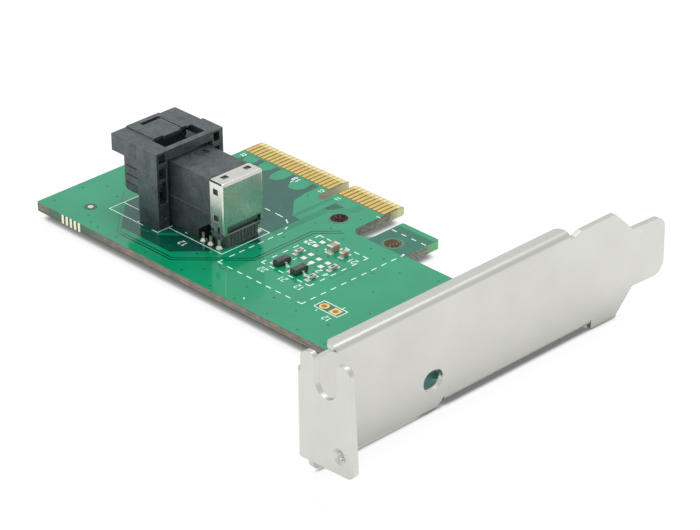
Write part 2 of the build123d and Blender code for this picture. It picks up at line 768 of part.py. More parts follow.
# plated eyelets of the two-pin header position, one round and one square
eyelets = []
for i, (hx, hy) in enumerate(header_at):
    eyelet = rod(hx, hy, -board_thick - pad_thick, pad_thick, header_hole_r + pad_thick)
    for z0 in (0, -board_thick - pad_thick):
        if i == 0:
            eyelet += rod(hx, hy, z0, z0 + pad_thick, header_pad_r)
        else:
            square = Pos(hx, hy, z0) * Rectangle(2 * header_pad_r, 2 * header_pad_r)
            eyelet += extrude(square, amount=pad_thick)
    eyelets.append(eyelet - rod(hx, hy, -3, 3, header_hole_r))
save("header_eyelets", *eyelets)

# round alignment mark, and plated tie bars on the far edge of the board
save("fiducial_pad", rod(fiducial_at[0], fiducial_at[1], 0, pad_thick, fiducial_r))
bars = []
for i in range(tie_bar_count):
    x = tie_bar_x0 + i * tie_bar_pitch
    bars.append(block(x - 0.28, x + 0.28, board_far_y - pad_thick, board_far_y, -board_thick, 0))
save("edge_tie_bars", *bars)
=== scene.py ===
import math
import bpy
import numpy as np
from mathutils import Matrix, Vector


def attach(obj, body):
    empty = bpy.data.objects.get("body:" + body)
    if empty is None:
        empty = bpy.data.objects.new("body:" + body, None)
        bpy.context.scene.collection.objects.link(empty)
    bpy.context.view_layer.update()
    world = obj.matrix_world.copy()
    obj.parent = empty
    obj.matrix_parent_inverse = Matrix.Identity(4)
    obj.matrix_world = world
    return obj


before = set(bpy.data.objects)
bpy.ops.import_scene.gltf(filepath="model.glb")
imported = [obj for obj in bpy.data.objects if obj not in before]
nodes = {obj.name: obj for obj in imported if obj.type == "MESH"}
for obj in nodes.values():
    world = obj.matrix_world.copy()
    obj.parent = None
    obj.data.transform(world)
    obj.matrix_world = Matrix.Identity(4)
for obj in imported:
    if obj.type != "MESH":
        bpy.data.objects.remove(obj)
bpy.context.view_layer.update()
mm = 0.001


def addNode(tree, kind, inputs=None, **props):
    node = tree.nodes.new(kind)
    for key, value in props.items():
        setattr(node, key, value)
    for key, value in (inputs or {}).items():
        if isinstance(value, bpy.types.NodeSocket):
            tree.links.new(value, node.inputs[key])
        else:
            node.inputs[key].default_value = value
    return node


def calc(tree, op, a, b=0.0, c=0.0, clamp=False):
    node = addNode(tree, "ShaderNodeMath", {0: a, 1: b, 2: c}, operation=op)
    node.use_clamp = clamp
    return node.outputs[0]


def vector(tree, op, inputs):
    return addNode(tree, "ShaderNodeVectorMath", inputs, operation=op)


def step(tree, value, edge, soft):  # 0 below the edge, 1 above it, soft over a short run
    return calc(tree, "MULTIPLY_ADD", value, 1 / soft, 0.5 - edge / soft, clamp=True)


def drop(tree, value, edge, soft):  # the other way round: 1 below the edge, 0 above it
    return calc(tree, "SUBTRACT", 1.0, step(tree, value, edge, soft))


def both(tree, *masks):
    out = masks[0]
    for mask in masks[1:]:
        out = calc(tree, "MULTIPLY", out, mask)
    return out


def mix(tree, fac, a, b):  # colours given as three numbers, or sockets
    a, b = ((*c, 1.0) if isinstance(c, tuple) else c for c in (a, b))
    return addNode(tree, "ShaderNodeMix", {0: fac, 6: a, 7: b}, data_type="RGBA").outputs[2]


def noise(tree, place, scale, detail=3.0, rough=0.5, stretch=None):
    if stretch:
        place = vector(tree, "MULTIPLY", {0: place, 1: stretch}).outputs[0]
    sockets = {"Vector": place, "Scale": scale, "Detail": detail, "Roughness": rough}
    return addNode(tree, "ShaderNodeTexNoise", sockets).outputs[0]


def spread(tree, value, low, high, outLow=0.0, outHigh=1.0):
    node = addNode(tree, "ShaderNodeMapRange", {0: value, 1: low, 2: high, 3: outLow, 4: outHigh})
    return node.outputs[0]


def bump(tree, height, strength, distance, normal=None):
    node = addNode(tree, "ShaderNodeBump", {"Strength": strength, "Distance": distance, "Height": height})
    if normal is not None:
        tree.links.new(normal, node.inputs["Normal"])
    return node.outputs[0]


def newMaterial(name, **sockets):
    mat = bpy.data.materials.new(name)
    mat.use_nodes = True
    tree = mat.node_tree
    shader = tree.nodes["Principled BSDF"]
    for key, value in sockets.items():
        shader.inputs[key.replace("_", " ")].default_value = value
    place = addNode(tree, "ShaderNodeTexCoord").outputs["Object"]
    place = vector(tree, "SCALE", {0: place, 3: 1 / mm}).outputs[0]  # millimetres
    return mat, tree, shader, place


def feed(tree, shader, **links):
    for key, value in links.items():
        tree.links.new(value, shader.inputs[key.replace("_", " ")])


def split(tree, value):
    out = addNode(tree, "ShaderNodeSeparateXYZ", {0: value}).outputs
    return out[0], out[1], out[2]


def normalParts(tree):
    return split(tree, addNode(tree, "ShaderNodeNewGeometry").outputs["True Normal"])


def level(tree):  # 1 on faces that look up or down, 0 on walls
    return step(tree, calc(tree, "ABSOLUTE", normalParts(tree)[2]), 0.7, 0.1)


def dress(node, mat):
    data = nodes[node].data
    data.materials.clear()
    data.materials.append(mat)


def addPiece(name, verts, faces, mat):
    mesh = bpy.data.meshes.new(name)
    mesh.from_pydata([tuple(v) for v in verts], [], faces)
    mesh.materials.append(mat)
    mesh.validate()
    mesh.update()
    obj = bpy.data.objects.new(name, mesh)
    bpy.context.scene.collection.objects.link(obj)
    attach(obj, "root")
    return obj


def plates(name, loops, z0, z1, mat):  # each flat loop carried from z0 up to z1, closed at both ends
    verts, faces = [], []
    for loop in loops:
        flat = np.array(loop, float)
        nxt = np.roll(flat, -1, axis=0)
        if np.sum(flat[:, 0] * nxt[:, 1] - nxt[:, 0] * flat[:, 1]) < 0:
            flat = flat[::-1]  # counter-clockwise from above, so the normals point out
        n, base = len(flat), len(verts)
        for z in (z0, z1):
            verts += [(x * mm, y * mm, z * mm) for x, y in flat]
        faces.append([base + i for i in reversed(range(n))])
        faces.append([base + n + i for i in range(n)])
        faces += [[base + i, base + (i + 1) % n, base + n + (i + 1) % n, base + n + i] for i in range(n)]
    return addPiece(name, verts, faces, mat)


def stroke(points, width):  # outline of a line of even width, mitred at its corners
    p = np.array(points, float)
    d = np.diff(p, axis=0)
    d /= np.linalg.norm(d, axis=1)[:, None]
    side = np.stack([-d[:, 1], d[:, 0]], axis=1)
    first, last = side[:1], side[-1:]
    mid = side[:-1] + side[1:]
    mid = mid / np.maximum(np.sum(mid * mid, axis=1), 0.4)[:, None] * 2
    off = np.concatenate([first, mid, last]) * width / 2
    return np.concatenate([p + off, (p - off)[::-1]]).tolist()


def disc(x, y, r, n=16):
    a = np.arange(n) / n * 2 * math.pi
    return np.stack([x + r * np.cos(a), y + r * np.sin(a)], axis=1).tolist()


def ring(x, y, r0, r1, n=24):  # two half rings that meet on the X line
    halves = []
    for start in (0.0, math.pi):
        a = start + np.linspace(0, math.pi, n // 2 + 1)
        outer = np.stack([x + r1 * np.cos(a), y + r1 * np.sin(a)], axis=1)
        inner = np.stack([x + r0 * np.cos(a), y + r0 * np.sin(a)], axis=1)[::-1]
        halves.append(np.concatenate([outer, inner]).tolist())
    return halves


def rect(x0, x1, y0, y1):
    return [(x0, y0), (x1, y0), (x1, y1), (x0, y1)]


def roundHoles(box, holes, r):  # two halves of a rectangle that leave a row of holes open
    x0, x1, y0, y1 = box
    hy = holes[0][1]
    bite = np.linspace(0, math.pi, 13)
    over = [(hx - r * math.cos(a), hy + r * math.sin(a)) for hx, _ in holes for a in bite]
    under = [(x, 2 * hy - y) for x, y in over]
    upper = [(x0, hy), *over, (x1, hy), (x1, y1), (x0, y1)]
    lower = [(x0, hy), *under, (x1, hy), (x1, y0), (x0, y0)]
    return [upper, lower]


# tops of the printed layers over the board, each at a height of its own where two cross
layerTop = {
    "gap": 0.004,
    "corner": 0.007,
    "island": 0.008,
    "scratch": 0.010,
    "track": 0.012,
    "outline": 0.013,
    "via": 0.015,
    "halo": 0.018,
    "ground": 0.022,
    "ink": 0.028,
    "sunk": -0.02,
}


def printed(name, loops, layer, mat):
    return plates(name, loops, layerTop["sunk"], layerTop[layer], mat)


def bar(name, place, mat):
    return plates(name, [rect(*place["area"])], place["low"], place["high"], mat)


# board: green mask on both faces, bare laminate along the contacts, fibre layers on the routed edges
boardLook = {
    "copperTone": (0.0018, 0.246, 0.112),
    "copperShade": (0.0012, 0.214, 0.094),
    "bareTone": (0.150, 0.085, 0.028),
    "bareFleck": (0.085, 0.045, 0.016),
    "bevelTone": (0.64, 0.52, 0.24),
    "bevelGap": (0.36, 0.27, 0.10),
    "edgeDark": (0.070, 0.062, 0.048),
    "edgeLight": (0.255, 0.188, 0.135),
    "edgeGreen": (0.034, 0.098, 0.050),
    "edgeTip": (0.58, 0.52, 0.27),
    "hookTip": (0.125, 0.440, 0.190),
    "cellPale": (0.330, 0.305, 0.235),
    "cellDark": (0.125, 0.118, 0.088),
    "holeWallPaintedLight": [  # pale and dark tone of each hole's wall, both painted paler as painted light against the holes' shade, the second hole more than the first
        ((0.340, 0.210, 0.150), (0.090, 0.046, 0.034)),
        ((0.620, 0.500, 0.310), (0.240, 0.180, 0.105)),
    ],
    # paler wall tone for the key slot, a painted light
    "keySlotPaintedLight": (0.560, 0.520, 0.400),
    "lowBand": (0.045, 0.048, 0.040),
    "foilFleck": (0.400, 0.160, 0.105),
    "glassSheet": (0.330, 0.300, 0.235),
    "skinLine": (0.020, 0.160, 0.080),
    "tongueX": (-22.2, 12.25),
    "tongueY": -4.62,
    "bevelY": -1.3,
    "sheetPitch": 11.8,  # radians of the sheet pattern per millimetre of depth
    "sheetPhase": 1.2,
    "dull": 0.62,  # roughness of edges and bare laminate
    "lowBandZ": -1.16,
    "skinZ": -0.09,
    "keyHalf": 1.2,
    "slotX": 12.4,  # between the tongue and the hook
    "tipFade": (-2.4, 2.2),
    "hookFade": (-6.7, 1.2),
    "greenX": (-29.6, -16.0),
    "greenY": -41.5,
    "holeReach": 1.95,  # past the hole's corner, from the middle of its depth
    "middleZ": -0.8,
}

holeRings = {"places": [(7.6, -10.55), (20.1, -10.55)], "r0": 1.5, "r1": 1.86}


def maskSheen(tree, place):
    cloud = noise(tree, place, 0.25, 3.0)
    weave = noise(tree, place, 1.6, 2.0)
    rough = spread(tree, cloud, 0.3, 0.7, 0.10, 0.17)
    return rough, bump(tree, weave, 0.10, 0.00004)


maskTint = (0.59, 0.92, 1.0, 1.0)
boardMat, tree, shader, place = newMaterial("boardMask", IOR=1.6, Specular_Tint=maskTint)
px, py, pz = split(tree, place)
isFace = level(tree)
tongueStart, tongueEnd = boardLook["tongueX"]
tongue = both(
    tree,
    step(tree, py, boardLook["tongueY"], 0.06),
    step(tree, px, tongueStart, 0.05),
    drop(tree, px, tongueEnd, 0.05),
)
bevel = both(tree, tongue, step(tree, py, boardLook["bevelY"], 0.1))
cloud = noise(tree, place, 0.16, 4.0)
copper = mix(tree, spread(tree, cloud, 0.3, 0.7), boardLook["copperTone"], boardLook["copperShade"])
fleck = noise(tree, place, 9.0, 2.0, 0.6, (1.0, 1.0, 0.4))
bare = mix(tree, spread(tree, fleck, 0.35, 0.65, 0.0, 0.35), boardLook["bareTone"], boardLook["bareFleck"])
across = calc(tree, "ABSOLUTE", calc(tree, "SUBTRACT", calc(tree, "FRACT", px), 0.5))
onStripe = drop(tree, across, 0.35, 0.08)  # one gold stripe for each millimetre
chamferTone = mix(tree, onStripe, boardLook["bevelGap"], boardLook["bevelTone"])
face = mix(tree, tongue, copper, bare)
face = mix(tree, bevel, face, chamferTone)
layer = noise(tree, place, 1.0, 5.0, 0.65, (0.8, 0.8, 6.0))
edge = mix(tree, spread(tree, layer, 0.36, 0.66), boardLook["edgeDark"], boardLook["edgeLight"])
streak = noise(tree, place, 1.0, 2.0, 0.5, (0.8, 0.8, 9.0))
foil = both(tree, step(tree, streak, 0.60, 0.05), step(tree, layer, 0.46, 0.2))
edge = mix(tree, foil, edge, boardLook["foilFleck"])
depth = calc(tree, "MULTIPLY_ADD", pz, boardLook["sheetPitch"], boardLook["sheetPhase"])
sheets = calc(tree, "SINE", depth)  # three glass sheets through the thickness
edge = mix(tree, spread(tree, sheets, -0.2, 1.0, 0.0, 0.24), edge, boardLook["glassSheet"])
lowBand = drop(tree, pz, boardLook["lowBandZ"], 0.22)
edge = mix(tree, calc(tree, "MULTIPLY", lowBand, 0.62), edge, boardLook["lowBand"])
# walls that face along X show cut glass bundles
routed = step(tree, calc(tree, "ABSOLUTE", normalParts(tree)[0]), 0.7, 0.1)
cells = {"Vector": place, "Scale": 2.3, "Randomness": 0.55}
bundle = addNode(tree, "ShaderNodeTexVoronoi", cells).outputs["Distance"]
cell = mix(tree, step(tree, bundle, 0.42, 0.25), boardLook["cellPale"], boardLook["cellDark"])
cell = mix(tree, spread(tree, layer, 0.3, 0.7, 0.0, 0.45), cell, boardLook["cellDark"])
# painted light: the key slot's walls are painted paler, lifting them out of the slot's shade
inKeySlot = drop(tree, calc(tree, "ABSOLUTE", px), boardLook["keyHalf"], 0.1)
cell = mix(tree, calc(tree, "MULTIPLY", inKeySlot, 0.7), cell, boardLook["keySlotPaintedLight"])
edge = mix(tree, routed, edge, cell)
onTongue = drop(tree, px, boardLook["slotX"], 0.1)
tips = both(tree, step(tree, py, *boardLook["tipFade"]), onTongue)
edge = mix(tree, calc(tree, "MULTIPLY", tips, 0.9), edge, boardLook["edgeTip"])
onHook = step(tree, px, boardLook["slotX"], 0.1)
hookTip = both(tree, onHook, step(tree, py, *boardLook["hookFade"]))
edge = mix(tree, calc(tree, "MULTIPLY", hookTip, 0.85), edge, boardLook["hookTip"])
# mask has run over the far edge near the tie bars
greenStart, greenEnd = boardLook["greenX"]
alongX = both(tree, step(tree, px, greenStart, 1.2), drop(tree, px, greenEnd, 9.0))
greenRun = both(tree, alongX, drop(tree, py, boardLook["greenY"], 0.1))
edge = mix(tree, calc(tree, "MULTIPLY", greenRun, 0.75), edge, boardLook["edgeGreen"])
skinLine = step(tree, pz, boardLook["skinZ"], 0.05)
edge = mix(tree, calc(tree, "MULTIPLY", skinLine, 0.55), edge, boardLook["skinLine"])
# the hole walls take their painted-light tones, paler than the laminate to stand in for light in the holes
for (hx, hy), (holeTone, holeDark) in zip(holeRings["places"], boardLook["holeWallPaintedLight"]):
    away = vector(tree, "DISTANCE", {0: place, 1: (hx, hy, boardLook["middleZ"])}).outputs["Value"]
    wall = mix(tree, step(tree, bundle, 0.36, 0.3), holeTone, holeDark)
    edge = mix(tree, drop(tree, away, boardLook["holeReach"], 0.1), edge, wall)
skin = mix(tree, isFace, edge, face)
rough, lift = maskSheen(tree, place)
bareFace = both(tree, isFace, tongue)
glossy = calc(tree, "SUBTRACT", isFace, bareFace)
choice = {0: glossy, 2: boardLook["dull"], 3: rough}
rough = addNode(tree, "ShaderNodeMix", choice, data_type="FLOAT").outputs[0]
feed(tree, shader, Base_Color=skin, Roughness=rough, Normal=lift)
dress("circuit_board", boardMat)


def maskMaterial(name, tone, shade):
    mat, tree, shader, place = newMaterial(name, IOR=1.6, Specular_Tint=maskTint)
    cloud = noise(tree, place, 0.3, 4.0)
    rough, lift = maskSheen(tree, place)
    skin = mix(tree, spread(tree, cloud, 0.3, 0.7), tone, shade)
    feed(tree, shader, Base_Color=skin, Roughness=rough, Normal=lift)
    return mat


# two copies of the no-copper mask: the darker one by the connector, the paler one on the hook, which is
# painted light for the hook's brighter surroundings
bareMask = maskMaterial("maskNoCopper", (0.0010, 0.072, 0.046), (0.0008, 0.058, 0.037))
litHookMask = maskMaterial("maskHookPaintedLight", (0.0010, 0.112, 0.062), (0.0008, 0.096, 0.053))
patchMask = maskMaterial("maskCopper", (0.0018, 0.246, 0.112), (0.0012, 0.214, 0.094))
lineMask = maskMaterial("maskGap", (0.0006, 0.040, 0.026), (0.0005, 0.030, 0.020))
softMask = maskMaterial("maskSoftGap", (0.0012, 0.140, 0.078), (0.0009, 0.118, 0.064))
haloMask = maskMaterial("maskHalo", (0.055, 0.175, 0.100), (0.042, 0.140, 0.080))
print("board mask done")

# places where the inner foil is etched away read darker through the mask; the strip by the bracket is
# painted shade, the board darkened where the bracket shades it
bareArea = [
    (-18.9, -34.4), (-17.2, -36.1), (-15.4, -37.9), (-3.5, -37.9), (1.3, -32.9), (1.3, -30.4),
    (4.07, -26.3), (4.73, -25.73), (4.73, -24.9), (3.3, -24.6), (3.3, -15.3), (1.3, -15.3),
    (0.9, -14.7), (-2.26, -11.5), (-2.9, -8.4), (-3.0, -4.94), (-20.15, -4.94), (-20.6, -9.5),
    (-19.6, -16.2), (-20.4, -20.0), (-21.6, -28.0), (-21.7, -31.6),
]
bareQuad = [(3.4, -7.3), (5.6, -7.3), (4.2, -9.9), (3.4, -9.9)]
# painted shade: a dark patch on the board behind the bracket, where the bracket shades it
bracketShadePatch = rect(51.2, 56.45, -41.6, -12.7)
printed("foil_gaps_and_bracket_shade", [bareArea, bareQuad, bracketShadePatch], "gap", bareMask)
# the hook's bare patch uses the paler, painted-light copy of the no-copper mask
hookArea = (16.25, 24.42, -12.4, -5.4)
printed("hook_gap", roundHoles(hookArea, holeRings["places"][1:], holeRings["r0"]), "gap", litHookMask)
islandArc = {"x": -12.1, "y": -33.2, "r": 2.75, "span": (212, 325), "width": 0.16}
angles = np.radians(np.linspace(*islandArc["span"], 12))
arcX = islandArc["x"] + islandArc["r"] * np.cos(angles)
arcY = islandArc["y"] + islandArc["r"] * np.sin(angles)
copperIslands = [
    [(-20.0, -5.05), (-17.5, -5.05), (-17.2, -6.5), (-17.8, -7.3), (-19.5, -7.3), (-20.0, -6.3)],
    [(-16.1, -5.05), (-13.5, -5.05), (-13.3, -6.3), (-13.9, -7.6), (-15.5, -7.6), (-16.2, -6.4)],
    [(-12.2, -5.05), (-9.4, -5.05), (-9.2, -7.4), (-10.0, -8.6), (-11.3, -8.8), (-12.1, -7.4)],
    [(-7.5, -5.05), (-4.5, -5.05), (-4.2, -7.4), (-5.0, -8.7), (-6.6, -8.8), (-7.5, -7.6)],
    [(-9.9, -35.2), (-9.3, -35.6), (-6.5, -33.1), (-7.3, -32.9)],
    stroke(np.stack([arcX, arcY], axis=1), islandArc["width"]),
]
printed("foil_islands", copperIslands, "island", patchMask)
printed("foil_corner", [[(-9.6, -33.0), (-7.5, -33.0), (-9.6, -34.9)]], "corner", softMask)

# long pairs of tracks, seen as dark gaps beside each run
gapLines = {
    "width": 0.22,
    "runs": [
        [(-13.4, -39.57), (-1.2, -39.57), (8.5, -30.1), (8.5, -17.1), (12.0, -13.6)],
        [(-13.4, -38.98), (-1.5, -38.98), (7.8, -29.8), (7.8, -16.8), (11.1, -13.4)],
    ],
    "fineWidth": 0.15,
    "fineRuns": [
        [(1.43, -6.5), (1.43, -15.2)], [(1.87, -6.5), (1.87, -15.2)], [(3.3, -6.5), (3.3, -10.0)],
        [(3.4, -10.0), (3.4, -22.0)], [(3.83, -10.1), (3.83, -22.0)],
        [(4.2, -10.2), (4.2, -22.0)], [(4.63, -10.3), (4.63, -22.0)],
        [(3.9, -10.0), (6.9, -6.9), (6.9, -5.2)], [(4.7, -10.3), (7.95, -6.9), (7.95, -5.2)],
        [(7.4, -7.0), (7.4, -5.2)],
    ],
}
footprints = {
    "places": [
        (11.8, -19.2), (11.5, -23.3), (13.5, -23.5), (15.5, -23.5),
        (17.4, -23.5), (19.4, -23.3), (19.25, -27.9),
    ],
    "half": (0.78, 1.55),
    "line": 0.09,
}
fx, fy = footprints["half"]
printed("track_gaps", [stroke(run, gapLines["width"]) for run in gapLines["runs"]], "track", lineMask)
fineGaps = [stroke(run, gapLines["fineWidth"]) for run in gapLines["fineRuns"]]
# the fine gaps share the hook's paler, painted-light copy of the no-copper mask
printed("fine_gaps", fineGaps, "track", litHookMask)
softLines = [
    stroke([(-24.95, -29.15), (-14.6, -39.5), (-13.4, -39.57)], 0.16),
    stroke([(-21.95, -31.35), (-14.3, -39.0), (-13.4, -38.98)], 0.16),
    stroke([(-17.3, -34.4), (-13.6, -38.0)], 0.12),
    stroke([(-2.7, -13.9), (-1.7, -15.3), (-1.3, -16.6), (-1.3, -20.6)], 0.12),
    stroke([(1.75, -16.0), (1.75, -21.8)], 0.12),
    stroke([(14.75, -19.9), (14.75, -22.4)], 0.1),
    stroke([(21.5, -20.0), (21.5, -26.2)], 0.1),
    stroke([(9.8, -21.4), (11.1, -20.7)], 0.1),
]
for x, y in footprints["places"]:
    frameLine = rect(x - fx, x + fx, y - fy, y + fy) + [(x - fx, y - fy + 0.1)]
    softLines.append(stroke(frameLine, footprints["line"]))
printed("soft_gaps", softLines, "outline", softMask)

# via holes filled by mask, scattered where the foils are stitched together
viaSpots = [
    (-30.6, -39.6), (-30.9, -33.1), (-28.4, -29.9), (-29.6, -24.6), (-24.3, -31.2), (-27.3, -19.4),
    (-30.2, -14.9), (-22.6, -38.9), (-20.4, -40.2), (-23.7, -26.0), (-22.0, -22.4), (-18.2, -40.6),
    (-13.4, -40.7), (-6.1, -40.8), (2.5, -40.6), (9.6, -40.9), (15.4, -41.0), (22.6, -40.6), (29.5, -40.7),
    (35.8, -40.9), (43.1, -40.6), (50.2, -40.8), (31.9, -36.4), (25.1, -36.8), (37.2, -33.0), (33.9, -29.3),
    (42.1, -27.8), (29.3, -24.1), (36.0, -21.6), (44.8, -19.4), (27.9, -16.8), (34.2, -14.3), (41.0, -13.6),
    (49.2, -15.6), (48.4, -30.4), (45.6, -36.2), (6.9, -35.6), (4.8, -37.9), (14.0, -37.0), (19.6, -36.4),
    (10.6, -25.4), (12.9, -24.9), (15.1, -25.6), (13.2, -20.9), (16.0, -21.1), (18.1, -20.4), (14.6, -30.3),
    (18.3, -30.6), (17.9, -26.3), (22.8, -15.2), (24.9, -19.9), (13.1, -15.1), (18.8, -14.2), (9.2, -13.9),
    (6.0, -14.4), (5.9, -21.4), (6.1, -26.9), (10.4, -8.3), (-1.9, -8.6), (-6.9, -10.3), (-11.2, -9.6),
    (-16.2, -9.9), (-19.8, -8.4), (0.2, -35.2), (-4.9, -36.4), (-8.4, -36.1), (22.9, -8.4), (17.5, -8.0),
]
viaTone = maskMaterial("viaMask", (0.0012, 0.110, 0.070), (0.0010, 0.088, 0.056))
viaLook = {"r": 0.22, "corners": 12, "low": -1.615, "high": -1.58}
viaDiscs = [disc(x, y, viaLook["r"], viaLook["corners"]) for x, y in viaSpots]
printed("via_tops", viaDiscs, "via", viaTone)
plates("via_bottoms", viaDiscs, viaLook["low"], viaLook["high"], viaTone)

# rings bared of foil round the two tooling holes and the alignment mark
rings = []
for hx, hy in holeRings["places"]:
    rings += ring(hx, hy, holeRings["r0"], holeRings["r1"])
printed("hole_halos", rings, "halo", haloMask)
markRing = {"at": (-24.56, -36.78), "r0": 0.5, "r1": 1.12}
printed("mark_ring", ring(*markRing["at"], markRing["r0"], markRing["r1"]), "halo", bareMask)

blank, tree, shader, place = newMaterial("headerGround", IOR=1.5)
rough, lift = maskSheen(tree, place)
fine = noise(tree, place, 2.0, 3.0)
ground = mix(tree, spread(tree, fine, 0.3, 0.7), (0.022, 0.135, 0.072), (0.016, 0.108, 0.056))
feed(tree, shader, Base_Color=ground, Roughness=rough, Normal=lift)
header = {"box": (26.15, 31.05, -33.68, -31.62), "holes": [(27.24, -32.72), (29.78, -32.72)], "r": 0.5}
printed("header_ground", roundHoles(header["box"], header["holes"], header["r"]), "ground", blank)

# a pale hairline scratch in the mask
scratchMat = maskMaterial("maskScratch", (0.060, 0.330, 0.140), (0.040, 0.280, 0.110))
scratch = {"run": [(8.3, -36.3), (13.6, -41.2)], "width": 0.1}
printed("mask_scratch", [stroke(scratch["run"], scratch["width"])], "scratch", scratchMat)
print("foil, tracks and vias done")

# white legend: outlines, dashed frames and plain digits
inkMat, tree, shader, place = newMaterial("legendInk", IOR=1.45)
grain = noise(tree, place, 6.0, 3.0, 0.6)
feed(
    tree, shader,
    Base_Color=mix(tree, spread(tree, grain, 0.35, 0.7), (0.74, 0.94, 0.86), (0.55, 0.79, 0.70)),
    Roughness=spread(tree, grain, 0.3, 0.7, 0.38, 0.55),
    Normal=bump(tree, grain, 0.15, 0.00002),
)
legend = {
    "line": 0.16,
    "dash": 0.19,
    "outlines": [
        [(0.43, -22.1), (3.2, -22.1), (3.2, -32.55), (-9.82, -32.55)],
        [(-9.82, -31.7), (-9.82, -34.95), (-11.2, -34.95)],
        [(-13.4, -34.95), (-21.86, -34.95), (-21.86, -28.2)],
        [(-21.7, -31.85), (-18.05, -31.85)],
        [(-14.93, -34.95), (-14.93, -34.4)],
        [(26.0, -33.8), (31.2, -33.8), (31.2, -31.5), (26.0, -31.5), (26.0, -33.7)],
        [(27.25, -34.25), (27.25, -34.75)],
    ],
    "dashes": [
        [(-3.65, -16.74), (-2.39, -16.78)], [(-1.1, -16.73), (0.76, -16.83)],
        [(1.72, -16.98), (2.91, -17.73)], [(3.85, -18.73), (4.16, -19.52)],
        [(9.73, -18.0), (9.73, -16.98), (10.7, -16.98)], [(11.4, -16.98), (12.45, -16.98)],
        [(13.5, -16.98), (14.6, -16.98)], [(15.7, -16.98), (16.75, -16.98)],
        [(17.8, -16.98), (18.9, -16.98)], [(19.8, -16.98), (20.86, -16.98), (20.86, -17.9)],
        [(20.86, -28.9), (20.86, -29.85), (19.9, -29.85)], [(9.73, -28.9), (9.73, -29.85), (10.5, -29.85)],
        [(13.8, -18.3), (13.8, -19.7), (14.3, -19.7)],
        [(16.3, -39.75), (16.7, -40.05)],
    ],
}
frontRow = {"y": -34.72, "x0": 4.72, "x1": 24.16, "pitch": 2.25, "length": 1.15, "cornerY": -33.8}
x0, x1, y, cornerY = (frontRow[k] for k in ("x0", "x1", "y", "cornerY"))
legend["dashes"].append([(x0, cornerY), (x0, y), (x0 + 1.0, y)])
legend["dashes"].append([(x1 - 1.0, y), (x1, y), (x1, cornerY)])
for i in range(7):
    x = x0 + frontRow["pitch"] * (i + 1)
    legend["dashes"].append([(x, y), (x + frontRow["length"], y)])
rows = [  # x of the row, first top end, pitch, count and length of its upright dashes
    (24.16, -13.8, 2.235, 9, 1.12), (4.72, -20.6, 2.1, 6, 1.15),
    (9.73, -19.4, 2.35, 4, 1.1), (20.86, -19.4, 2.35, 4, 1.1),
]
for x, top, pitch, count, length in rows:
    for i in range(count):
        y = top - pitch * i
        legend["dashes"].append([(x, y), (x, y - length)])
legend["dashes"].append([(24.16, -12.75), (24.16, -12.0), (23.8, -12.0)])
for x in (11.6, 13.7, 15.9, 18.0):
    legend["dashes"].append([(x, -29.85), (x + 1.1, -29.85)])
for x in (16.6, 18.85, 21.1, 23.3):
    legend["dashes"].append([(x, -7.25), (x + 1.05, -7.25)])
strokes = [stroke(run, legend["line"]) for run in legend["outlines"]]
strokes += [stroke(run, legend["dash"]) for run in legend["dashes"]]

# each figure is a short polyline on a cell 1 wide and 2 high
figures = {
    "1": [[(0.2, 1.6), (0.55, 2.0), (0.55, 0.0)]],
    "2": [[(0.0, 1.6), (0.3, 2.0), (0.8, 2.0), (1.0, 1.6), (1.0, 1.2), (0.0, 0.0), (1.0, 0.0)]],
    "3": [[
        (0.0, 1.8), (0.4, 2.0), (0.9, 1.8), (1.0, 1.4), (0.5, 1.05),
        (1.0, 0.7), (0.9, 0.2), (0.4, 0.0), (0.0, 0.2),
    ]],
    "4": [[(0.8, 0.0), (0.8, 2.0), (0.0, 0.6), (1.1, 0.6)]],
    "8": [[
        (0.5, 1.05), (0.1, 1.4), (0.2, 1.9), (0.8, 1.9), (0.9, 1.4), (0.5, 1.05), (0.0, 0.6), (0.2, 0.05),
        (0.8, 0.05), (1.0, 0.6), (0.55, 1.0),
    ]],
}


def writeFigure(text, x, y, height, turn, width):  # digits from their lower left corner, turned in degrees
    c, s = math.cos(math.radians(turn)), math.sin(math.radians(turn))
    out = []
    for i, sign in enumerate(text):
        for line in figures[sign]:
            cell = [((u + 1.5 * i) * height / 2, v * height / 2) for u, v in line]
            out.append(stroke([(x + c * u - s * v, y + s * u + c * v) for u, v in cell], width))
    return out


marks = {  # text, middle of its place, height, turn and line width
    "designators": [
        ("12", -4.05, -34.5, 1.15, 180, 0.13), ("22", 11.6, -31.4, 1.15, 180, 0.13),
        ("21", 16.15, -31.3, 1.15, 180, 0.13), ("12", 20.05, -31.35, 1.15, 180, 0.13),
        ("22", 10.25, -19.75, 1.2, 180, 0.18), ("21", 19.8, -19.35, 1.2, 180, 0.13),
        ("12", 30.35, -35.2, 1.1, 180, 0.13), ("1", 29.9, -31.0, 0.6, 180, 0.13),
        ("1", -6.3, -31.75, 0.5, 90, 0.13), ("1", 12.75, -25.3, 0.8, 180, 0.13),
        ("8", 15.55, -25.05, 0.75, 180, 0.13), ("2", 18.35, -25.45, 1.0, 180, 0.16),
        ("4", 20.0, -25.55, 1.1, 180, 0.16),
    ],
    "pinNumbers": [
        ("1", 12.0, -5.75, 0.8, 90, 0.13), ("11", 2.5, -5.9, 0.8, 90, 0.13),
        ("12", -1.5, -5.9, 0.8, 90, 0.13), ("32", -20.8, -5.9, 0.8, 90, 0.13),
        ("18", -7.6, -5.85, 1.2, 180, 0.16),
    ],
}
for group in marks.values():
    for text, x, y, height, turn, width in group:
        c, s = math.cos(math.radians(turn)), math.sin(math.radians(turn))
        halfW, halfH = (1.0 + 1.5 * (len(text) - 1)) * height / 4, height / 2
        cornerX, cornerY = x - c * halfW + s * halfH, y - s * halfW - c * halfH
        strokes += writeFigure(text, cornerX, cornerY, height, turn, width)
strokes.append(stroke([(-7.6, -6.6), (-7.6, -7.35)], 0.2))
printed("white_legend", strokes, "ink", inkMat)
print("legend done")


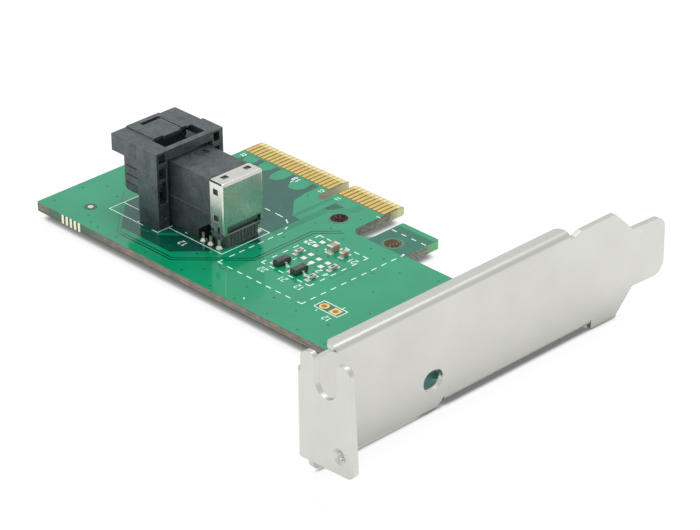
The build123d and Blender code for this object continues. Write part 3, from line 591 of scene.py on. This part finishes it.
# plating and sheet metal
def metalMaterial(name, tone, shade, rough, cloudScale, grainScale, lift, stretch=None, rounding=0.00008):
    mat, tree, shader, place = newMaterial(name, Metallic=1.0)
    cloud = noise(tree, place, cloudScale, 4.0, 0.55)
    grain = noise(tree, place, grainScale, 3.0, 0.6, stretch)
    mixed = calc(tree, "MULTIPLY_ADD", cloud, 0.5, calc(tree, "MULTIPLY", grain, 0.5))
    roundedNormal = addNode(tree, "ShaderNodeBevel", {"Radius": rounding}).outputs[0]
    feed(
        tree, shader,
        Base_Color=mix(tree, spread(tree, cloud, 0.3, 0.7), tone, shade),
        Roughness=spread(tree, mixed, 0.3, 0.7, rough - 0.05, rough + 0.06),
        Normal=bump(tree, grain, lift, 0.00002, roundedNormal),
    )
    return mat


sheetMat = metalMaterial(
    "nickelSheet", (0.535, 0.535, 0.500), (0.508, 0.508, 0.474), 0.36, 0.12, 3.0, 0.20,
    stretch=(1.0, 0.35, 1.0), rounding=0.00015,
)
goldMat = metalMaterial("goldPlate", (0.760, 0.590, 0.178), (0.690, 0.515, 0.135), 0.26, 0.8, 5.0, 0.12)
clipMat = metalMaterial(
    "tinClip", (0.650, 0.645, 0.605), (0.600, 0.595, 0.555), 0.24, 0.5, 2.0, 0.04,
    stretch=(1.0, 1.0, 0.5), rounding=0.00012,
)
padMat = metalMaterial("tinPad", (0.88, 0.88, 0.85), (0.78, 0.78, 0.75), 0.38, 2.5, 7.0, 0.5)
paleGoldMat = metalMaterial("paleGold", (0.78, 0.77, 0.56), (0.66, 0.66, 0.46), 0.34, 2.5, 7.0, 0.5)
solderMat = metalMaterial("tinSolder", (0.66, 0.65, 0.62), (0.52, 0.51, 0.48), 0.30, 2.5, 7.0, 0.6)
leadMat = metalMaterial("tinnedLead", (0.84, 0.82, 0.78), (0.70, 0.68, 0.65), 0.35, 2.0, 6.0, 0.4)
screwMat = metalMaterial("zincScrew", (0.60, 0.60, 0.59), (0.48, 0.48, 0.47), 0.30, 0.8, 4.0, 0.3)
legMat = metalMaterial("paleLeg", (0.74, 0.68, 0.52), (0.62, 0.56, 0.42), 0.28, 1.5, 5.0, 0.3)
contactMat = metalMaterial("contactGold", (0.80, 0.60, 0.27), (0.70, 0.50, 0.20), 0.28, 1.5, 5.0, 0.2)

# eyelets: pale plated rim, warmer gold down the barrel, painted bright and non-metal there as painted light
# against the hole's shade
eyeletMat, tree, shader, place = newMaterial("eyeletGold")
rimFace = level(tree)
grain = noise(tree, place, 5.0, 3.0)
rimTone = mix(tree, grain, (0.90, 0.70, 0.34), (0.84, 0.60, 0.24))
feed(
    tree, shader,
    Base_Color=mix(tree, rimFace, (0.98, 0.60, 0.19), rimTone),
    Metallic=rimFace,
    Roughness=spread(tree, grain, 0.3, 0.7, 0.25, 0.36),
)

for node, mat in (
    ("bracket", sheetMat), ("bracket_screws", screwMat), ("shield_clip", clipMat),
    ("hold_down_legs", legMat), ("leg_solder", solderMat), ("solder_pads", padMat),
    ("edge_contacts_component_side", goldMat),
    ("edge_contacts_solder_side", goldMat), ("header_eyelets", eyeletMat), ("fiducial_pad", paleGoldMat),
    ("edge_tie_bars", paleGoldMat), ("contact_beams", contactMat), ("contact_tails", contactMat),
    ("transistor_leads", leadMat), ("capacitor_end_caps", leadMat), ("resistor_end_caps", leadMat),
):
    dress(node, mat)
print("metals done")


# moulded plastics: fine spark-eroded grain, with a painted highlight along the edges where light catches
# them
def plasticMaterial(name, tone, shade, rough, grainLift=0.5, grainScale=7.0, rounding=0.00015, rim=0.0):
    mat, tree, shader, place = newMaterial(name, IOR=1.64, Specular_Tint=(0.82, 0.97, 1.0, 1.0))
    cloud = noise(tree, place, 0.5, 4.0, 0.6)
    grain = noise(tree, place, grainScale, 4.0, 0.7)
    roundedNormal = addNode(tree, "ShaderNodeBevel", {"Radius": rounding}).outputs[0]
    flat = addNode(tree, "ShaderNodeNewGeometry").outputs["True Normal"]
    turn = vector(tree, "DOT_PRODUCT", {0: roundedNormal, 1: flat}).outputs["Value"]
    corner = spread(tree, turn, 0.995, 0.90, 0.0, rim)  # painted highlight: arrises are painted paler where light catches them
    mixed = calc(tree, "MULTIPLY_ADD", grain, 0.6, calc(tree, "MULTIPLY", cloud, 0.4))
    body = mix(tree, spread(tree, mixed, 0.38, 0.62), tone, shade)
    feed(
        tree, shader,
        Base_Color=mix(tree, corner, body, (0.16, 0.18, 0.18)),
        Roughness=spread(tree, grain, 0.3, 0.7, rough - 0.06, rough + 0.08),
        Specular_IOR_Level=spread(tree, mixed, 0.36, 0.64, 0.22, 0.78),
        Normal=bump(tree, grain, grainLift, 0.00006, roundedNormal),
    )
    return mat


shroudMat = plasticMaterial(
    "shroudPlastic", (0.016, 0.023, 0.024), (0.038, 0.049, 0.051), 0.40, 0.6, 3.2, rim=0.7,
)
housingMat = plasticMaterial(
    "housingPlastic", (0.017, 0.024, 0.025), (0.040, 0.050, 0.052), 0.40, 0.6, 3.2, rim=0.6,
)
# the wafers are painted paler than their plastic, painted light that lifts the band shaded under the clip
waferPaintedLightMat = plasticMaterial("waferPlasticPaintedLight", (0.080, 0.098, 0.097), (0.110, 0.130, 0.128), 0.5)
combMat = plasticMaterial("combPlastic", (0.050, 0.066, 0.065), (0.080, 0.100, 0.098), 0.5, rim=0.8)
packageMat = plasticMaterial(
    "packagePlastic", (0.020, 0.021, 0.022), (0.034, 0.035, 0.036), 0.42, 0.4, 12.0, 0.00005,
)
capMat = plasticMaterial(
    "capacitorCeramic", (0.31, 0.190, 0.110), (0.38, 0.265, 0.165), 0.5, 0.2, 10.0, 0.00006,
)

# chip resistors: pale ceramic round a dark resistive strip
resistors = {"places": [(11.5, -23.3), (19.4, -23.3), (19.25, -27.9)], "half": (0.2, 0.42), "soft": 0.06}
glazeMat, tree, shader, place = newMaterial("resistorGlaze", IOR=1.5)
px, py, pz = split(tree, place)
halfX, halfY = resistors["half"]
strip = 0.0
for x, y in resistors["places"]:
    offX = calc(tree, "ABSOLUTE", calc(tree, "SUBTRACT", px, x))
    offY = calc(tree, "ABSOLUTE", calc(tree, "SUBTRACT", py, y))
    insideX, insideY = (drop(tree, v, w, resistors["soft"]) for v, w in ((offX, halfX), (offY, halfY)))
    strip = calc(tree, "ADD", strip, both(tree, insideX, insideY))  # the three strips never meet
grain = noise(tree, place, 10.0, 3.0)
paleTone = mix(tree, grain, (0.50, 0.50, 0.48), (0.36, 0.36, 0.35))
feed(
    tree, shader,
    Base_Color=mix(tree, strip, paleTone, (0.030, 0.028, 0.030)),
    Roughness=spread(tree, grain, 0.3, 0.7, 0.25, 0.4),
)

for node, mat in (
    ("receptacle_shroud", shroudMat), ("contact_housing", housingMat), ("terminal_wafers", waferPaintedLightMat),
    ("organiser_comb", combMat), ("transistor_bodies", packageMat), ("capacitor_bodies", capMat),
    ("resistor_bodies", glazeMat),
):
    dress(node, mat)
print("plastics done")

# a rib across the nose closes the view through the latch slot
latchRib = {"area": (-16.15, -15.75, -31.5, -22.85), "low": 11.4, "high": 13.5}
bar("latch_rib", latchRib, shroudMat)

# painted highlights: pale strips on the organiser's top edge and on the housing's ledge stand in for light
# catching those edges
combHighlightMat = plasticMaterial("paintedEdgeHighlight", (0.30, 0.30, 0.30), (0.42, 0.41, 0.41), 0.5)
combRim = {"area": (2.30, 2.45, -31.3, -23.05), "low": 2.38, "high": 2.48}
bar("comb_rim_highlight", combRim, combHighlightMat)
ledgeHighlightMat = plasticMaterial("ledgePaintedHighlight", (0.09, 0.10, 0.10), (0.13, 0.14, 0.14), 0.5)
ledgeRim = {"area": (-9.9, -0.5, -31.50, -31.3), "low": 5.41, "high": 5.48}
bar("ledge_rim_highlight", ledgeRim, ledgeHighlightMat)

# open corners of the folded clip read as thin dark seams
seams = {
    "rear": (-0.56, -0.43, -31.5, -22.85),
    "side": (-0.3, 2.3, -31.56, -31.43),
    "low": 11.6,
    "high": 11.885,
}
seamMat, tree, shader, place = newMaterial("seamShade", IOR=1.45)
grain = noise(tree, place, 6.0, 2.0)
feed(
    tree, shader,
    Base_Color=mix(tree, spread(tree, grain, 0.3, 0.7), (0.012, 0.012, 0.013), (0.030, 0.030, 0.031)),
    Roughness=spread(tree, grain, 0.3, 0.7, 0.6, 0.8),
)
strips = [rect(*seams["rear"]), rect(*seams["side"])]
plates("clip_seams", strips, seams["low"], seams["high"], seamMat)

# plain pale floor under the bracket's lowest edge, mostly even white to the camera, with a contact shade
floor = {
    "z": -0.00312,
    "half": 3.0,
    "reach": 0.0024,
    "even": 0.85,  # share of plain white that the camera sees
    "shade": (0.36, 0.36, 0.36),
    "touch": (0.20, 0.20, 0.20),
    "fade": (0.53, 0.22),  # middle and width of the step from touch to open floor
}
floorMat, tree, shader, place = newMaterial("paleFloor", Roughness=0.9)
shader.inputs["Specular IOR Level"].default_value = 0.0
haze = noise(tree, place, 0.02, 2.0)
near = addNode(tree, "ShaderNodeAmbientOcclusion", {"Distance": floor["reach"]}, samples=32).outputs["AO"]
touch = step(tree, near, *floor["fade"])
pale = mix(tree, haze, (0.97, 0.97, 0.97), (0.985, 0.985, 0.985))
feed(tree, shader, Base_Color=mix(tree, touch, floor["shade"], pale))
white = mix(tree, touch, floor["touch"], (1.0, 1.0, 1.0))
glow = addNode(tree, "ShaderNodeEmission", {"Color": white}).outputs[0]
seen = calc(tree, "MULTIPLY", addNode(tree, "ShaderNodeLightPath").outputs["Is Camera Ray"], floor["even"])
blend = addNode(tree, "ShaderNodeMixShader", {0: seen, 1: shader.outputs[0], 2: glow}).outputs[0]
tree.links.new(blend, tree.nodes["Material Output"].inputs["Surface"])
h = floor["half"]
mesh = bpy.data.meshes.new("floor")
mesh.from_pydata([(x, y, floor["z"]) for x, y in rect(-h, h, -h, h)], [], [(0, 1, 2, 3)])
mesh.materials.append(floorMat)
floorObj = bpy.data.objects.new("floor", mesh)
bpy.context.scene.collection.objects.link(floorObj)

# even white room and one broad lamp overhead
world = bpy.data.worlds.new("studio")
bpy.context.scene.world = world
world.use_nodes = True
sky = world.node_tree.nodes["Background"].inputs
sky["Color"].default_value = (1.0, 1.0, 1.0, 1.0)
sky["Strength"].default_value = 0.95
overhead = {"at": (-0.05, 0.12, 0.75), "aim": (0.02, -0.02, 0.0), "size": 0.5, "power": 3.2}
lamp = bpy.data.lights.new("softbox", "AREA")
lamp.shape = "DISK"
lamp.size = overhead["size"]
lamp.energy = overhead["power"]
lampObj = bpy.data.objects.new("softbox", lamp)
lampObj.location = overhead["at"]
aim = Vector(overhead["aim"]) - Vector(overhead["at"])
lampObj.rotation_mode = "QUATERNION"
lampObj.rotation_quaternion = aim.to_track_quat("-Z", "Y")
bpy.context.scene.collection.objects.link(lampObj)

# camera: turned about the board from its angles, its focal length in pixels of a 700 wide frame
shot = {
    "azimuth": 46.078,
    "elevation": 28.522,
    "roll": -0.556,
    "distance": 500.837,
    "focal": 3131.927,
    "width": 700,
    "target": (20.402, -20.496, 0.0),
}
az, el, roll = (math.radians(shot[k]) for k in ("azimuth", "elevation", "roll"))
back = Vector((math.sin(az) * math.cos(el), -math.cos(az) * math.cos(el), math.sin(el)))
right = Vector((0, 0, 1)).cross(back).normalized()
up = back.cross(right)
camX = right * math.cos(roll) + up * math.sin(roll)
camY = up * math.cos(roll) - right * math.sin(roll)
cam = bpy.data.cameras.new("camera")
cam.sensor_fit = "HORIZONTAL"
cam.sensor_width = 36.0
cam.lens = shot["focal"] / shot["width"] * cam.sensor_width
cam.clip_start = 0.01
cam.clip_end = 20.0
camObj = bpy.data.objects.new("camera", cam)
eye = (Vector(shot["target"]) + back * shot["distance"]) * mm
pose = Matrix((camX, camY, back)).transposed().to_4x4()
pose.translation = eye
camObj.matrix_world = pose
bpy.context.scene.collection.objects.link(camObj)
bpy.context.scene.camera = camObj
bpy.context.scene.view_settings.view_transform = "Standard"
print("stage, light and camera done")
